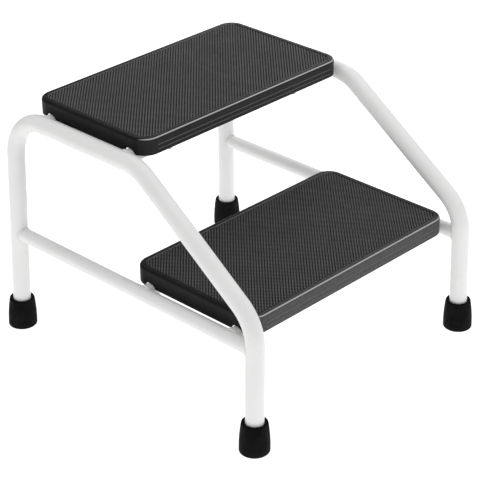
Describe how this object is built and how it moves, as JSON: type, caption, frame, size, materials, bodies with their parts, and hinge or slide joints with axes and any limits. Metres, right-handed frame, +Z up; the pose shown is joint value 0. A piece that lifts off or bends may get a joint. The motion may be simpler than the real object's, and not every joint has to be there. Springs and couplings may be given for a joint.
{
  "type": "step stool",
  "caption": "Step stool with a welded bent-tube frame, moulded treads with textured non-slip mats, and rubber ferrules on its feet.",
  "frame": {"origin": "on the floor, midway between the four feet", "axes": "+X to the right of someone climbing from the front, +Y to the rear, +Z up"},
  "size_m": [0.4614, 0.5029, 0.361],
  "materials": {
    "frame_paint": "glossy white powder coat",
    "tray_plastic": "satin black moulded plastic",
    "mat_rubber": "matt dark grey ribbed rubber",
    "ferrule_rubber": "matt black rubber",
    "zinc_steel": "bright zinc plating"
  },
  "bodies": {
    "root": {"left_front_ferrule": "ferrule_rubber", "left_front_ferrule_washer": "zinc_steel", "left_rear_ferrule": "ferrule_rubber", "left_rear_ferrule_washer": "zinc_steel", "left_side_frame": "frame_paint", "left_side_rail": "frame_paint", "lower_front_cross_tube": "frame_paint", "lower_rear_cross_tube": "frame_paint", "lower_tread_mat": "mat_rubber", "lower_tread_screws": "zinc_steel", "lower_tread_tray": "tray_plastic", "right_front_ferrule": "ferrule_rubber", "right_front_ferrule_washer": "zinc_steel", "right_rear_ferrule": "ferrule_rubber", "right_rear_ferrule_washer": "zinc_steel", "right_side_frame": "frame_paint", "right_side_rail": "frame_paint", "upper_front_cross_tube": "frame_paint", "upper_rear_cross_tube": "frame_paint", "upper_tread_mat": "mat_rubber", "upper_tread_screws": "zinc_steel", "upper_tread_tray": "tray_plastic"}
  },
  "joints": []
}
